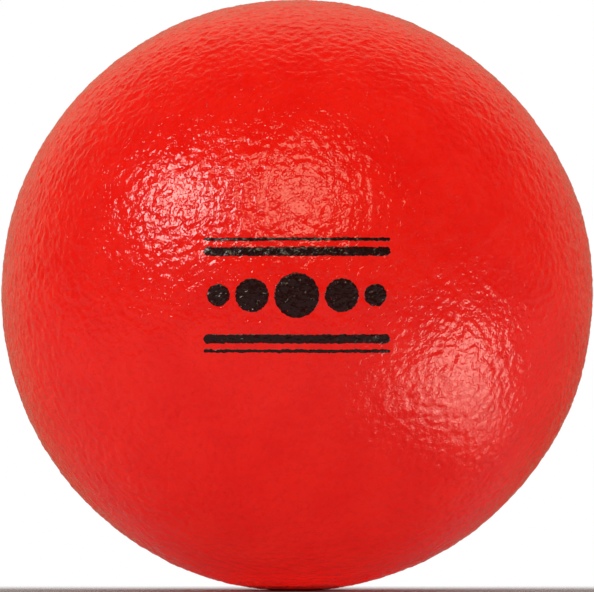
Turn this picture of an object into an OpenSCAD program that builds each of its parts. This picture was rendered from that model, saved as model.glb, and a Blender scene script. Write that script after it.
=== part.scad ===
// Soft dodgeball: a foam sphere under a sealing coat and a tough coloured skin,
// with a small printed mark. All sizes are in millimetres. The origin is the
// middle of the ball, +Z is up, and the mark is centred on the front, at -Y.

/* [Ball] */
// Diameter over the finished skin
ball_d = 160; // [70:1:210]

/* [Coats] */
// Thickness of the coloured skin
skin_t = 0.6; // [0.3:0.1:1.5]
// Thickness of the sealing coat between the foam and the skin
base_t = 0.4; // [0.2:0.1:1]

/* [Printed mark] */
// Thickness of the ink film
ink_t = 0.1; // [0.02:0.01:0.3]
// Number of dots in the row
dot_count = 5; // [3:2:5]
// Diameter of the middle dot
dot_d = 12; // [8:0.5:14]
// How much smaller each next dot is, towards the ends of the row
dot_step_d = 3; // [1:0.5:3]
// Clear width between one dot and the next
dot_gap = 1.5; // [1:0.5:3]
// Width of the bold line above the row and below it
bold_w = 2.4; // [1:0.1:3]
// Width of the fine line outside each bold line
fine_w = 0.9; // [0.6:0.1:1.5]
// Clear height between a bold line and its fine line
line_gap = 1.6; // [1:0.1:2.5]
// Clear height between the middle dot and a bold line
row_gap = 4.5; // [2:0.5:5.5]
// How far each line runs past the outer dots
line_over = 1; // [0:0.5:3]

/* [Smoothness] */
// Sides of the preview of the ball
ball_fn = 180; // [60:12:240]
// Sides of the preview of the dots and of the line ends
mark_fn = 48; // [24:12:96]

/* [Hidden] */

ball_r = ball_d / 2;
base_r = ball_r - skin_t;
core_r = base_r - base_t;
ink_r = ball_r + ink_t;
middle_dot = (dot_count - 1) / 2;
bold_z = dot_d / 2 + row_gap + bold_w / 2;
fine_z = bold_z + (bold_w + fine_w) / 2 + line_gap;

// Diameter of a dot that is the given number of steps away from the middle
function dot_size(steps) = dot_d - abs(steps) * dot_step_d;

// Place of a dot along the row, walked outwards from the middle dot
function dot_x(steps) =
    steps == 0 ? 0
    : steps < 0 ? -dot_x(-steps)
    : dot_x(steps - 1) + dot_gap + (dot_size(steps - 1) + dot_size(steps)) / 2;

line_l = 2 * dot_x(middle_dot) + dot_size(middle_dot) + 2 * line_over;

// Hollow sphere between two radii
module shell(outer_r, inner_r) {
    difference() {
        sphere(r = outer_r, $fn = ball_fn);
        sphere(r = inner_r, $fn = ball_fn);
    }
}

// Two like lines with round ends, the same height above and below the middle
module line_pair(z, width) {
    for (up = [-1, 1])
        translate([0, up * z]) {
            square([line_l - width, width], center = true);
            for (side = [-1, 1])
                translate([side * (line_l - width) / 2, 0])
                    circle(d = width, $fn = mark_fn);
        }
}

// Row of dots, largest in the middle
module dot_row() {
    for (steps = [-middle_dot : middle_dot])
        translate([dot_x(steps), 0])
            circle(d = dot_size(steps), $fn = mark_fn);
}

// One piece of soft open foam, ground to a sphere
module foam_core() {
    color("ivory") sphere(r = core_r, $fn = ball_fn);
}

// Flexible coat that closes the cells of the foam and bonds the skin to it
module base_coat() {
    color("bisque") shell(base_r, core_r);
}

// Tough coloured outer coat, which hands and floor touch
module skin() {
    color([0.91, 0.12, 0.09]) shell(ball_r, base_r);
}

// Ink film lying on the skin: a row of dots between two pairs of lines
module printed_mark() {
    color([0.05, 0.05, 0.05])
        intersection() {
            shell(ink_r, ball_r);
            rotate([90, 0, 0])
                linear_extrude(height = ball_d) {
                    dot_row();
                    line_pair(bold_z, bold_w);
                    line_pair(fine_z, fine_w);
                }
        }
}

foam_core();
base_coat();
skin();
printed_mark();
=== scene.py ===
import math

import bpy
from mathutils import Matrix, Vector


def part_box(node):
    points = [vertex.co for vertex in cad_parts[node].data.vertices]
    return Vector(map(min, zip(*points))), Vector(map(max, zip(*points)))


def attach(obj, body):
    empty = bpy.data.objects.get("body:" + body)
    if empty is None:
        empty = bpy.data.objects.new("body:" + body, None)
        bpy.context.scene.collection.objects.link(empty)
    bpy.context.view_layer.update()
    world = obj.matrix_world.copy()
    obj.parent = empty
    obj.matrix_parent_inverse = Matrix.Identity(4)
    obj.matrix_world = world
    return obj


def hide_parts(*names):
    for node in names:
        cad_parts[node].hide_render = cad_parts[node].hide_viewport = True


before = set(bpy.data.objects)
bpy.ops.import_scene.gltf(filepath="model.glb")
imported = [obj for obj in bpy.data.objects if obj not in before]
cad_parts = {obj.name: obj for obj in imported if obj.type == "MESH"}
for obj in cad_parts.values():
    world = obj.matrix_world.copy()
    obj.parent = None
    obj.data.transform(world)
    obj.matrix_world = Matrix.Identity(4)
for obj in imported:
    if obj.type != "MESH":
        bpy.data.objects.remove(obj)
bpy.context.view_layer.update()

# A soft dodgeball: a foam core, its sealing coat, a glossy leathery skin and a printed mark.
# One height rule gives the skin its lumps, swells, pebbles and wrinkles. The ink follows them
# all, and the inner pieces follow the lumps.

MM = 0.001


def radius_of(node):
    """Outer radius of a round CAD node, from its height."""
    low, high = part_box(node)
    return (high.z - low.z) / 2


# Sizes from the frame
BALL_R = radius_of("skin")
BASE_R = radius_of("base_coat")
CORE_R = radius_of("foam_core")
FLOOR_Z = -BALL_R

# Forms of the relief: their usual spacing, and the usual slope of their sides
RELIEF_FORMS = {
    "Lumps": (95 * MM, 0.014),
    "Swells": (8 * MM, 0.04),
    "Pebbles": (3.6 * MM, 0.14),
    "Wrinkles": (1.8 * MM, 0.13),
}

# Fine relief in the material: a grain, grooves in bent and broken lines, and pin pits
GRAIN_SPACING = 1.2 * MM
GRAIN_SLOPE = 0.09
GROOVE_SPACING = 1.6 * MM
GROOVE_DEPTH = 0.03 * MM
GROOVE_BEND = 1.2 * MM
GROOVE_BEND_SPACING = 2.5 * MM
GROOVE_PATCH_SPACING = 4.5 * MM
PIT_SPACING = 1.6 * MM
PIT_DEPTH = 0.04 * MM

# What Blender's noise gives: spacing of its forms for a scale of 1, its slope, and its usual swing
NOISE_SPACING = 2.24
NOISE_SLOPE = 0.5
NOISE_SWING = 0.125

# Inner pieces: clear width round the sealing coat, and the cut cells of the foam
COAT_CLEARANCE = 0.05 * MM
FOAM_CELL = 3.0 * MM
FOAM_CELL_DEPTH = 0.5 * MM

# Squares along each edge of the cube that is blown up into a sphere
SKIN_SQUARES = 280
COAT_SQUARES = 64
FOAM_SQUARES = 88

# Printed mark, with the sizes that it has in the frame
DOT_COUNT = 5
DOT_D = 12 * MM
DOT_STEP_D = 3 * MM
DOT_GAP = 1.5 * MM
BOLD_W = 2.4 * MM
FINE_W = 0.9 * MM
LINE_GAP = 1.6 * MM
ROW_GAP = 4.5 * MM
LINE_OVER = 1 * MM

# Ink film: how far it starts below the skin, its thickness, the size of its mesh squares,
# how far its edges wander, in forms of what spacing, and how close points are merged
INK_BELOW = 0.03 * MM
INK_T = 0.07 * MM
INK_STEP = 0.3 * MM
INK_WOBBLE = 0.10 * MM
INK_WOBBLE_SPACING = 1.8 * MM
INK_MERGE = 0.002 * MM

# Floor: how far it reaches, its rear edge, and the stretch behind the ball's middle on which
# it fades out. It gets paler there, so that its tone stays even while it fades.
FLOOR_REACH = 6.0
FLOOR_REAR = 0.12
FADE_START = 0.0
FADE_END = 0.09
PALER_START = 0.02
PAPER = (0.23, 0.235, 0.235, 1)
PALER_PAPER = (0.38, 0.39, 0.385, 1)

# How far behind its lit part a lamp's gloss part stands, because lamps at one place dim each other
LAMP_GAP = 0.01

# Low card on the floor at the right: the place and the turn of its stacked sheets, and their
# sizes and radiances from the lowest up, which give it a soft edge
LOW_CARD_PLACE = (0.231, -0.122, FLOOR_Z + 2 * MM)
LOW_CARD_TURN = math.radians(17)
LOW_CARD_SHEETS = (
    ((0.31, 0.12), 1.35),
    ((0.26, 0.095), 1.65),
    ((0.20, 0.07), 1.75),
    ((0.15, 0.05), 1.75),
)

# Room round the ball: its tone, the tone of its ground, how high and low its horizon is soft,
# and how nearly straight behind the ball its white backdrop starts and is full
ROOM_TONE = (1, 0.95, 0.64)
GROUND_TONE = (0.28, 0.28, 0.26)
HORIZON = (-0.03, 0.01)
BACKDROP = (0.991, 0.995)

# Photograph: the ball's outline in its frame, in pixels
PHOTO_SIZE = (594, 592)
PHOTO_CENTRE = (296.75, 295.16)
PHOTO_RADIUS = 295.34
CAMERA_DISTANCE = 5.0
SENSOR_WIDTH = 36.0


class Tree:
    """Short hand for building a node tree: each method adds nodes, links them and gives an output."""

    def __init__(self, nodes, links):
        self.nodes = nodes
        self.links = links

    def add(self, kind, inputs=None, **settings):
        node = self.nodes.new(kind)
        for name, value in settings.items():
            setattr(node, name, value)
        for name, value in (inputs or {}).items():
            self.put(node.inputs[name], value)
        return node

    def put(self, socket, value):
        if isinstance(value, bpy.types.NodeSocket):
            self.links.new(value, socket)
        else:
            socket.default_value = value

    def math(self, operation, a, b=0.0):
        return self.add("ShaderNodeMath", {0: a, 1: b}, operation=operation).outputs[0]

    def plus(self, a, b):
        return self.math("ADD", a, b)

    def minus(self, a, b):
        return self.math("SUBTRACT", a, b)

    def times(self, a, b):
        return self.math("MULTIPLY", a, b)

    def over(self, a, b):
        return self.math("DIVIDE", a, b)

    def at_least(self, a, b):
        return self.math("MAXIMUM", a, b)

    def vector(self, operation, a, b=(0, 0, 0)):
        return self.add("ShaderNodeVectorMath", {0: a, 1: b}, operation=operation).outputs[0]

    def scaled(self, a, factor):
        return self.add("ShaderNodeVectorMath", {0: a, "Scale": factor}, operation="SCALE").outputs[0]

    def along(self, a, way, start):
        """Dot product of a vector with a fixed one, plus a number."""
        node = self.add("ShaderNodeVectorMath", {0: a, 1: way}, operation="DOT_PRODUCT")
        return self.plus(node.outputs["Value"], start)

    def split(self, a):
        return self.add("ShaderNodeSeparateXYZ", {0: a}).outputs

    def joined(self, x, y, z):
        return self.add("ShaderNodeCombineXYZ", {0: x, 1: y, 2: z}).outputs[0]

    def noise(self, place, spacing, detail=0.0, output=0):
        """Soft noise with forms of the given spacing: output 0 is a number and 1 a vector."""
        inputs = {"Vector": place, "Scale": NOISE_SPACING / spacing, "Detail": detail}
        return self.add("ShaderNodeTexNoise", inputs).outputs[output]

    def cells(self, place, spacing, feature="F1"):
        """Distance from the middle of the nearest cell, or from its edge, as a share of the spacing."""
        inputs = {"Vector": place, "Scale": 1 / spacing}
        return self.add("ShaderNodeTexVoronoi", inputs, feature=feature).outputs["Distance"]

    def mapped(self, value, low, high, to_low=0.0, to_high=1.0):
        """Soft ramp from one number to another while the value goes from low to high."""
        inputs = {"Value": value, "From Min": low, "From Max": high, "To Min": to_low, "To Max": to_high}
        return self.add("ShaderNodeMapRange", inputs, interpolation_type="SMOOTHSTEP").outputs[0]


class Maker(Tree):
    """A geometry node group with named inputs, and the nodes that the pieces are made with."""

    def __init__(self, name, inputs, outputs=("Mesh",), kind="Geometry"):
        self.group = bpy.data.node_groups.new(name, "GeometryNodeTree")
        super().__init__(self.group.nodes, self.group.links)
        interface = self.group.interface
        for label, default in inputs.items():
            socket_type = {int: "Int", float: "Float"}.get(type(default), "Vector")
            interface.new_socket(label, in_out="INPUT", socket_type=f"NodeSocket{socket_type}")
        for label in outputs:
            interface.new_socket(label, in_out="OUTPUT", socket_type=f"NodeSocket{kind}")
        self.values = {label: default for label, default in inputs.items() if default is not None}
        self.given = self.add("NodeGroupInput").outputs

    def end(self, *results):
        self.add("NodeGroupOutput", dict(enumerate(results)))
        return self

    def place(self):
        return self.add("GeometryNodeInputPosition").outputs[0]

    def placed(self, mesh, position):
        return self.add("GeometryNodeSetPosition", {"Geometry": mesh, "Position": position}).outputs[0]

    def flipped(self, mesh):
        return self.add("GeometryNodeFlipFaces", {"Mesh": mesh}).outputs[0]

    def real(self, mesh):
        return self.add("GeometryNodeRealizeInstances", {"Geometry": mesh}).outputs[0]

    def together(self, *meshes):
        node = self.add("GeometryNodeJoinGeometry")
        for mesh in meshes:
            self.links.new(mesh, node.inputs[0])
        return node.outputs[0]

    def points(self, count, position):
        return self.add("GeometryNodePoints", {"Count": count, "Position": position}).outputs[0]

    def copied(self, mesh, points, scale=(1, 1, 1)):
        inputs = {"Points": points, "Instance": mesh, "Scale": scale}
        return self.add("GeometryNodeInstanceOnPoints", inputs).outputs[0]

    def sphere(self, squares):
        """Cube blown up into a unit sphere whose faces are nearly of one size."""
        side = self.plus(squares, 1.0)
        inputs = {"Size": (2, 2, 2), "Vertices X": side, "Vertices Y": side, "Vertices Z": side}
        cube = self.add("GeometryNodeMeshCube", inputs).outputs[0]
        evened = self.vector("TANGENT", self.scaled(self.place(), math.pi / 4))
        return self.placed(cube, self.vector("NORMALIZE", evened))

    def relief(self, unit):
        """Relief in the direction of a unit vector: height of all forms, and of the lumps alone."""
        node = self.add("GeometryNodeGroup", node_tree=RELIEF.group)
        self.put(node.inputs["Place"], self.scaled(unit, BALL_R))
        for label, value in RELIEF.values.items():
            node.inputs[label].default_value = value
        return node.outputs[0], node.outputs[1]

    def finish(self, mesh, material):
        smooth = self.add("GeometryNodeSetShadeSmooth", {"Geometry": self.real(mesh)}).outputs[0]
        inputs = {"Geometry": smooth, "Material": material}
        self.end(self.add("GeometryNodeSetMaterial", inputs).outputs[0])

    def make(self, name):
        """Run the group and give its plain mesh as a new object."""
        run = bpy.data.objects.new("run", bpy.data.meshes.new("run"))
        bpy.context.scene.collection.objects.link(run)
        modifier = run.modifiers.new("maker", "NODES")
        modifier.node_group = self.group
        for item in self.group.interface.items_tree:
            if item.in_out == "INPUT":
                modifier[item.identifier] = self.values[item.name]
        bpy.context.view_layer.update()
        evaluated = run.evaluated_get(bpy.context.evaluated_depsgraph_get())
        mesh = bpy.data.meshes.new_from_object(evaluated)
        mesh.name = name
        run.modifiers.remove(modifier)
        bpy.data.objects.remove(run)
        piece = bpy.data.objects.new(name, mesh)
        bpy.context.scene.collection.objects.link(piece)
        return piece


def relief_rule():
    """Group that gives the height of the relief at a place: forms of several sizes, added up."""
    inputs = {"Place": None}
    for label, (spacing, slope) in RELIEF_FORMS.items():
        inputs[f"{label} Spacing"] = spacing
        inputs[f"{label} Slope"] = slope
    maker = Maker("skin_relief", inputs, ("Height", "Lumps"), "Float")
    place = maker.given["Place"]
    heights = {}
    for label in RELIEF_FORMS:
        size = maker.over(maker.given[f"{label} Spacing"], NOISE_SPACING)
        inputs = {"Vector": place, "Scale": maker.over(1.0, size), "Detail": 0.0}
        level = maker.minus(maker.add("ShaderNodeTexNoise", inputs).outputs[0], 0.5)
        rise = maker.times(size, maker.over(maker.given[f"{label} Slope"], NOISE_SLOPE))
        heights[label] = maker.times(level, rise)
    total = 0.0
    for height in heights.values():
        total = maker.plus(height, total)
    return maker.end(total, heights["Lumps"])


RELIEF = relief_rule()


# Materials

def surface(name, **values):
    """New material. Gives it, its tree, its shader and the place on the piece in metres."""
    material = bpy.data.materials.new(name)
    material.use_nodes = True
    t = Tree(material.node_tree.nodes, material.node_tree.links)
    shader = t.nodes["Principled BSDF"]
    for label, value in values.items():
        shader.inputs[label.replace("_", " ")].default_value = value
    return material, t, shader, t.add("ShaderNodeTexCoord").outputs["Object"]


def mixed(t, factor, low, high):
    """Colour between two others."""
    # Inputs 6 and 7 of a Mix node are its colours, and output 2 is the mixed one
    node = t.add("ShaderNodeMix", data_type="RGBA")
    t.put(node.inputs[0], factor)
    t.put(node.inputs[6], low)
    t.put(node.inputs[7], high)
    return node.outputs[2]


def bump(t, shader, height):
    """Relief of the surface, from a height in metres."""
    node = t.add("ShaderNodeBump", {"Strength": 1.0, "Distance": 1.0, "Height": height})
    t.put(shader.inputs["Normal"], node.outputs[0])


def fine_relief(t, place):
    """Grain, grooves and pits that are too fine for the mesh. Gives their height and the grooves alone."""
    grain_rise = GRAIN_SLOPE / NOISE_SLOPE * GRAIN_SPACING / NOISE_SPACING
    grain = t.times(t.noise(place, GRAIN_SPACING), grain_rise)
    bend = t.scaled(t.noise(place, GROOVE_BEND_SPACING, output=1), GROOVE_BEND)
    edge = t.cells(t.vector("ADD", place, bend), GROOVE_SPACING, "DISTANCE_TO_EDGE")
    shown = t.mapped(t.noise(place, GROOVE_PATCH_SPACING), 0.48, 0.60)
    groove = t.times(t.mapped(edge, 0.02, 0.14, 1.0, 0.0), shown)
    pit = t.mapped(t.cells(place, PIT_SPACING), 0.04, 0.13, 1.0, 0.0)
    height = t.minus(grain, t.times(groove, GROOVE_DEPTH))
    return t.minus(height, t.times(pit, PIT_DEPTH)), groove


def red_skin():
    """Glossy red coat with a leathery grain. It is clouded a little, and its grooves are darkened with
    painted shade.
    """
    material, t, shader, place = surface("red_skin", IOR=1.5)
    height, groove = fine_relief(t, place)
    cloud = t.mapped(t.noise(place, 30 * MM, detail=3.0), 0.35, 0.65)
    colour = mixed(t, cloud, (0.79, 0.004, 0.001, 1), (0.83, 0.007, 0.002, 1))
    # Painted shade: the grooves of the grain get a darker red, as if shade falls in them.
    colour = mixed(t, t.times(groove, 0.35), colour, (0.70, 0.003, 0.002, 1))
    gloss = t.noise(place, 6 * MM, detail=2.0)
    t.put(shader.inputs["Base Color"], colour)
    t.put(shader.inputs["Roughness"], t.mapped(gloss, 0.3, 0.7, 0.08, 0.14))
    bump(t, shader, height)
    return material


def black_ink():
    """Thin ink on the grain of the skin. A little red shows through it, more so in its thin flecks."""
    material, t, shader, place = surface("black_ink", IOR=1.5, Specular_IOR_Level=0.4)
    height, _ = fine_relief(t, place)
    fleck = t.mapped(t.noise(place, 0.9 * MM, detail=2.0), 0.62, 0.72)
    colour = mixed(t, fleck, (0.016, 0.001, 0.001, 1), (0.050, 0.006, 0.005, 1))
    gloss = t.noise(place, 3 * MM, detail=2.0)
    t.put(shader.inputs["Base Color"], colour)
    t.put(shader.inputs["Roughness"], t.mapped(gloss, 0.3, 0.7, 0.14, 0.24))
    bump(t, shader, height)
    return material


def sealing_coat():
    """Satin coat, mottled where it fills the cut cells of the foam."""
    material, t, shader, place = surface("sealing_coat", Roughness=0.5)
    fine = t.noise(place, 1.6 * MM, detail=3.0)
    cell = t.mapped(t.cells(place, 1.4 * MM), 0.1, 0.5)
    colour = mixed(t, cell, (0.70, 0.50, 0.34, 1), (0.82, 0.65, 0.48, 1))
    colour = mixed(t, t.mapped(fine, 0.3, 0.7), colour, (0.80, 0.62, 0.45, 1))
    t.put(shader.inputs["Base Color"], colour)
    bump(t, shader, t.times(fine, 0.15 * MM))
    return material


def open_foam():
    """Cut foam: pale cell walls round open cells, whose hollows are darkened with painted shade."""
    material, t, shader, place = surface("open_foam", Roughness=0.95)
    wall = t.mapped(t.cells(place, 1.1 * MM, "DISTANCE_TO_EDGE"), 0.03, 0.25, 1.0, 0.0)
    tone = t.mapped(t.noise(place, 14 * MM, detail=3.0), 0.3, 0.7)
    colour = mixed(t, tone, (0.84, 0.77, 0.57, 1), (0.88, 0.83, 0.66, 1))
    # Painted shade: the sunk hollows of the open cells get the darker colour, and the raised walls get the
    # paler one.
    t.put(shader.inputs["Base Color"], mixed(t, wall, (0.55, 0.46, 0.28, 1), colour))
    bump(t, shader, t.times(wall, 0.3 * MM))
    return material


# Pieces of the ball

def lumpy_wall(maker, squares, radius, grained=False):
    """Sphere with the lumps of the ball, or with its whole relief."""
    unit = maker.place()
    height, lumps = maker.relief(unit)
    far = maker.plus(radius, height if grained else lumps)
    return maker.placed(maker.sphere(squares), maker.scaled(unit, far))


def shell(maker, squares, outer, inner, grained=False):
    """Two walls, of which only the outer one may have the grain."""
    wall = lumpy_wall(maker, squares, outer, grained)
    back = lumpy_wall(maker, COAT_SQUARES, inner)
    return maker.together(wall, maker.flipped(back))


def soft_piece(maker, name, node):
    """Piece of the soft ball that fills its room and stands for a CAD node."""
    piece = maker.make(name)
    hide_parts(node)
    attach(piece, "root")
    return piece


def make_skin():
    """Skin: a grained wall outside and a lumpy one inside."""
    maker = Maker("skin", {"Squares": SKIN_SQUARES, "Outer Radius": BALL_R, "Inner Radius": BASE_R})
    squares, outer, inner = (maker.given[label] for label in maker.values)
    maker.finish(shell(maker, squares, outer, inner, grained=True), red_skin())
    return soft_piece(maker, "ball_skin", "skin")


def make_base_coat():
    """Sealing coat: a shell just inside the skin."""
    maker = Maker("base_coat", {
        "Squares": COAT_SQUARES,
        "Outer Radius": BASE_R - COAT_CLEARANCE,
        "Inner Radius": CORE_R + COAT_CLEARANCE,
    })
    squares, outer, inner = (maker.given[label] for label in maker.values)
    maker.finish(shell(maker, squares, outer, inner), sealing_coat())
    return soft_piece(maker, "ball_base_coat", "base_coat")


def make_foam():
    """Foam core, ground round, with its cut cells."""
    maker = Maker("foam_core", {
        "Squares": FOAM_SQUARES,
        "Radius": CORE_R,
        "Cell Size": FOAM_CELL,
        "Cell Depth": FOAM_CELL_DEPTH,
    })
    squares, radius, cell_size, cell_depth = (maker.given[label] for label in maker.values)
    unit = maker.place()
    inputs = {"Vector": maker.scaled(unit, radius), "Scale": maker.over(1.0, cell_size)}
    cell = maker.add("ShaderNodeTexVoronoi", inputs).outputs["Distance"]
    sunk = maker.times(maker.mapped(cell, 0.15, 0.45, 1.0, 0.0), cell_depth)
    _, lumps = maker.relief(unit)
    far = maker.minus(maker.plus(radius, lumps), sunk)
    mesh = maker.placed(maker.sphere(squares), maker.scaled(unit, far))
    maker.finish(mesh, open_foam())
    return soft_piece(maker, "ball_foam_core", "foam_core")


def stadium(maker, straight, radius, step):
    """Flat grid, straight in the middle and round at both ends. With no straight part it is a disc."""
    height = maker.times(radius, 2.0)
    width = maker.plus(straight, height)
    columns, rows = (
        maker.plus(maker.math("ROUND", maker.over(side, step)), 3.0)
        for side in (width, height)
    )
    inputs = {"Size X": width, "Size Y": height, "Vertices X": columns, "Vertices Y": rows}
    grid = maker.add("GeometryNodeMeshGrid", inputs).outputs[0]
    x, y, _ = maker.split(maker.place())
    reach = maker.math("ABSOLUTE", x)
    past = maker.at_least(maker.minus(reach, maker.times(straight, 0.5)), 0.0)

    # The square past each end of the straight part is drawn in to a half disc
    narrower, lower = (
        maker.math("SQRT", maker.minus(1.0, maker.times(maker.times(share, share), 0.5)))
        for share in (maker.over(y, radius), maker.over(past, radius))
    )
    reach = maker.plus(maker.minus(reach, past), maker.times(past, narrower))
    flat_x = maker.times(maker.math("SIGN", x), reach)
    return maker.placed(grid, maker.joined(flat_x, maker.times(y, lower), 0.0))


def laid_row(maker, index):
    """Row of flat dots: each dot's number of steps from the middle one gives its place and its scale."""
    given = maker.given
    middle = maker.times(maker.minus(given["Dot Count"], 1.0), 0.5)
    signed = maker.minus(index, middle)
    steps = maker.math("ABSOLUTE", signed)
    pitch = maker.times(steps, maker.plus(given["Dot Gap"], given["Dot Diameter"]))
    closer = maker.times(maker.times(steps, steps), maker.times(given["Dot Step"], 0.5))
    x = maker.times(maker.math("SIGN", signed), maker.minus(pitch, closer))
    points = maker.points(given["Dot Count"], maker.joined(x, 0.0, 0.0))
    shrink = maker.over(maker.times(steps, given["Dot Step"]), given["Dot Diameter"])
    scale = maker.minus(1.0, shrink)
    disc = stadium(maker, 0.0, maker.times(given["Dot Diameter"], 0.5), given["Step"])
    return maker.copied(disc, points, maker.joined(scale, scale, 1.0))


def laid_lines(maker, index, label):
    """Two flat lines of one width, the same height above the middle and below it."""
    height, width = maker.given[f"{label} Height"], maker.given[f"{label} Width"]
    up = maker.times(maker.minus(index, 0.5), maker.times(height, 2.0))
    pair = maker.points(2, maker.joined(0.0, up, 0.0))
    straight = maker.minus(maker.given["Line Length"], width)
    line = stadium(maker, straight, maker.times(width, 0.5), maker.given["Step"])
    return maker.copied(line, pair)


def make_print():
    """Ink film: a row of dots and four lines, laid out flat and pressed onto the relief of the skin."""
    end = DOT_COUNT // 2
    row = end * (DOT_GAP + DOT_D) - DOT_STEP_D * end * end / 2
    bold_z = (DOT_D + BOLD_W) / 2 + ROW_GAP
    maker = Maker("printed_mark", {
        "Dot Count": DOT_COUNT, "Dot Diameter": DOT_D, "Dot Step": DOT_STEP_D, "Dot Gap": DOT_GAP,
        "Line Length": 2 * row + DOT_D - end * DOT_STEP_D + 2 * LINE_OVER,
        "Bold Width": BOLD_W, "Bold Height": bold_z,
        "Fine Width": FINE_W, "Fine Height": bold_z + (BOLD_W + FINE_W) / 2 + LINE_GAP,
        "Step": INK_STEP, "Wobble": INK_WOBBLE, "Below": INK_BELOW, "Thickness": INK_T,
    })
    given = maker.given
    index = maker.add("GeometryNodeInputIndex").outputs[0]
    parts = [laid_row(maker, index)] + [laid_lines(maker, index, label) for label in ("Bold", "Fine")]
    flat = maker.real(maker.together(*parts))

    # Ragged edges
    place = maker.place()
    wobble = maker.noise(place, INK_WOBBLE_SPACING, detail=2.0, output=1)
    wobble = maker.vector("SUBTRACT", wobble, (0.5, 0.5, 0.5))
    shift = maker.scaled(wobble, maker.over(given["Wobble"], NOISE_SWING))
    x, y, _ = maker.split(maker.vector("ADD", place, shift))

    # Film on the ball: the flat layout straight back to the skin, then raised into a closed solid
    level = maker.plus(maker.times(x, x), maker.times(y, y))
    depth = maker.math("SQRT", maker.minus(BALL_R * BALL_R, level))
    unit = maker.vector("NORMALIZE", maker.joined(x, maker.times(depth, -1.0), y))
    height, _ = maker.relief(unit)
    far = maker.minus(maker.plus(height, BALL_R), given["Below"])
    film = maker.placed(flat, maker.scaled(unit, far))
    inputs = {
        "Mesh": film, "Offset": maker.vector("NORMALIZE", maker.place()),
        "Offset Scale": given["Thickness"], "Individual": False,
    }
    raised = maker.add("GeometryNodeExtrudeMesh", inputs).outputs[0]
    inputs = {"Geometry": maker.together(raised, maker.flipped(film)), "Distance": INK_MERGE}
    closed = maker.add("GeometryNodeMergeByDistance", inputs).outputs[0]
    maker.finish(closed, black_ink())
    piece = maker.make("ball_print")
    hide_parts("printed_mark")
    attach(piece, "root")
    return piece


# Stage

def make_floor():
    """Grey paper under the ball, which fades out behind it into the light of the room."""
    mesh = bpy.data.meshes.new("floor")
    corners = [
        (x, y, FLOOR_Z)
        for x, y in (
            (-FLOOR_REACH, -FLOOR_REACH), (FLOOR_REACH, -FLOOR_REACH),
            (FLOOR_REACH, FLOOR_REAR), (-FLOOR_REACH, FLOOR_REAR),
        )
    ]
    mesh.from_pydata(corners, [], [(0, 1, 2, 3)])
    floor = bpy.data.objects.new("floor", mesh)
    bpy.context.scene.collection.objects.link(floor)
    material, t, shader, place = surface("floor_paper", Roughness=0.9, Specular_IOR_Level=0.1)
    y = t.split(place)[1]
    colour = mixed(t, t.mapped(y, PALER_START, FADE_END), PAPER, PALER_PAPER)
    t.put(shader.inputs["Base Color"], colour)
    t.put(shader.inputs["Alpha"], t.mapped(y, FADE_START, FADE_END, 1.0, 0.0))
    mesh.materials.append(material)


def make_lamp(name, place, facing, size, radiance, shape="RECTANGLE", turn=0.0, colour=(1, 1, 1)):
    """A softbox at a place, facing a direction. Its power follows from its size and its radiance."""
    data = bpy.data.lights.new(name, "AREA")
    data.color = colour
    data.shape = shape
    data.size, data.size_y = size
    area = size[0] * size[1] * (math.pi / 4 if shape == "ELLIPSE" else 1)
    data.energy = radiance * area * math.pi
    lamp = bpy.data.objects.new(name, data)
    lamp.visible_camera = False
    lamp.location = place
    lamp.rotation_euler = (-Vector(facing)).to_track_quat("Z", "Y").to_euler()
    lamp.rotation_euler.rotate_axis("Z", turn)
    bpy.context.scene.collection.objects.link(lamp)
    return lamp


def aimed_lamp(name, direction, distance, size, radiance, colour, lit):
    """An oval softbox that faces the ball from a direction. The colour takes only the lit share of it."""
    way = Vector(direction).normalized()
    for part, share, back in (("lit", lit, 0.0), ("gloss", 1 - lit, LAMP_GAP)):
        place = way * (distance + back)
        lamp = make_lamp(f"{name}_{part}", place, -way, size, radiance * share, "ELLIPSE", colour=colour)
        lamp.visible_diffuse = part == "lit"


def make_low_card():
    """A card low at the right that only gloss takes, as stacked sheets."""
    x, y, z = LOW_CARD_PLACE
    for number, (size, radiance) in enumerate(LOW_CARD_SHEETS):
        sheet = make_lamp(f"low_card_{number}", (x, y, z + number * MM), (0, 0, 1), size, radiance,
                          turn=LOW_CARD_TURN, colour=(1, 0.95, 0.80))
        sheet.visible_diffuse = False


def make_bounce(name, y, up, size, radiance, shape="RECTANGLE"):
    """Light that comes back from the floor, which only colour takes."""
    lamp = make_lamp(name, (0, y, FLOOR_Z + up), (0, 0, 1), size, radiance, shape)
    lamp.visible_glossy = False


def make_lamps():
    """Lamps for the three highlights, and the light from the floor."""
    aimed_lamp("key", direction=(-0.657, -0.545, 0.521), distance=0.9, size=(0.36, 0.36),
               radiance=11.8, colour=(1, 0.97, 0.89), lit=0.3)
    aimed_lamp("overhead", direction=(-0.011, -0.782, 0.623), distance=0.8, size=(0.46, 0.35),
               radiance=4.2, colour=(1, 0.94, 0.66), lit=0.4)
    make_low_card()
    make_bounce("floor_bounce", y=-0.08, up=1 * MM, size=(0.5, 0.36), radiance=0.58)
    make_bounce("contact_bounce", y=0, up=0.5 * MM, size=(0.060, 0.060), radiance=0.26, shape="ELLIPSE")


def room_light(t, way):
    """A dim warm tone that grows lighter towards the rear, most of all high up and at the left."""
    x, y, z = t.split(way)
    start = t.plus(0.225, t.times(t.math("ABSOLUTE", t.times(x, z)), 0.6))
    walls = t.at_least(t.along(way, (-0.14, 0, 0.40), 0.25), 0.0)
    rear = t.times(t.mapped(y, start, t.plus(start, 0.5)), walls)
    return t.scaled(ROOM_TONE, t.plus(rear, 0.07))


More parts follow.
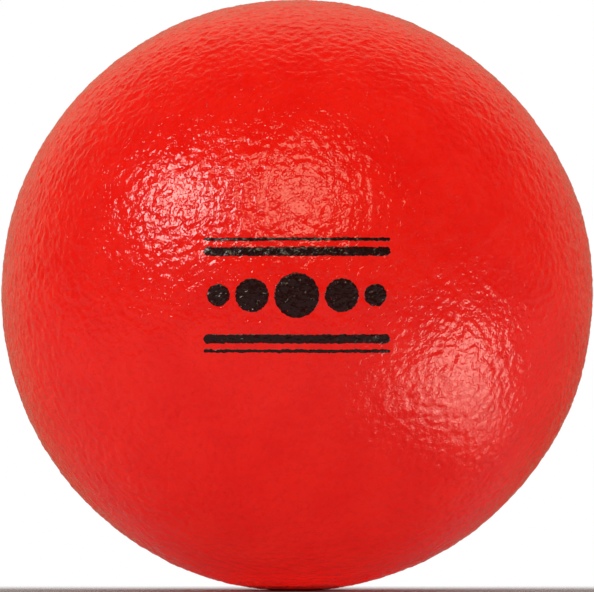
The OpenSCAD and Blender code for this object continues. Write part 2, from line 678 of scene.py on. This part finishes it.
def ground_light(t, way):
    """The tone of the floor in every direction below the horizon, except towards the rear."""
    _, y, z = t.split(way)
    below = t.times(t.mapped(z, *HORIZON, 1.0, 0.0), t.mapped(y, 0.55, 0.85, 1.0, 0.0))
    return t.scaled(GROUND_TONE, below)


def fill_light(t, way):
    """Light from above the horizon that only colour takes, strongest low at the rear, where no lamp is."""
    z = t.split(way)[2]
    strength = t.at_least(t.along(way, (0.14, 0.91, -1.54), 2.19), 0.0)
    diffuse = t.add("ShaderNodeLightPath").outputs["Is Diffuse Ray"]
    fill = t.times(diffuse, t.times(strength, t.mapped(z, *HORIZON)))
    return t.joined(fill, fill, fill)


def backdrop_light(t, way):
    """A white cone straight behind the ball, a few times as wide as the photograph's view."""
    white = t.mapped(t.split(way)[1], *BACKDROP)
    return t.joined(white, white, white)


def make_world():
    """Light of the room round the ball, by the direction in which it is seen."""
    world = bpy.data.worlds.new("studio")
    bpy.context.scene.world = world
    world.use_nodes = True
    t = Tree(world.node_tree.nodes, world.node_tree.links)
    way = t.add("ShaderNodeTexCoord").outputs["Generated"]
    seen = t.vector("MAXIMUM", room_light(t, way), ground_light(t, way))
    light = t.vector("MAXIMUM", t.vector("ADD", seen, fill_light(t, way)), backdrop_light(t, way))
    t.put(t.nodes["Background"].inputs["Color"], light)


def make_camera():
    """Camera level with the ball's middle, facing the mark, with the photograph's framing."""
    spread = math.asin(BALL_R / CAMERA_DISTANCE)
    width, height = PHOTO_SIZE
    data = bpy.data.cameras.new("camera")
    data.sensor_width = SENSOR_WIDTH
    data.lens = PHOTO_RADIUS / math.tan(spread) * SENSOR_WIDTH / width
    data.shift_x = (width / 2 - PHOTO_CENTRE[0]) / width
    data.shift_y = -(height / 2 - PHOTO_CENTRE[1]) / width
    camera = bpy.data.objects.new("camera", data)
    camera.location = (0, -CAMERA_DISTANCE, 0)
    camera.rotation_euler = (math.pi / 2, 0, 0)
    bpy.context.scene.collection.objects.link(camera)
    bpy.context.scene.camera = camera


bpy.context.scene.view_settings.view_transform = "Standard"
make_camera()
make_world()
make_floor()
make_lamps()

make_foam()
make_base_coat()
make_skin()
make_print()
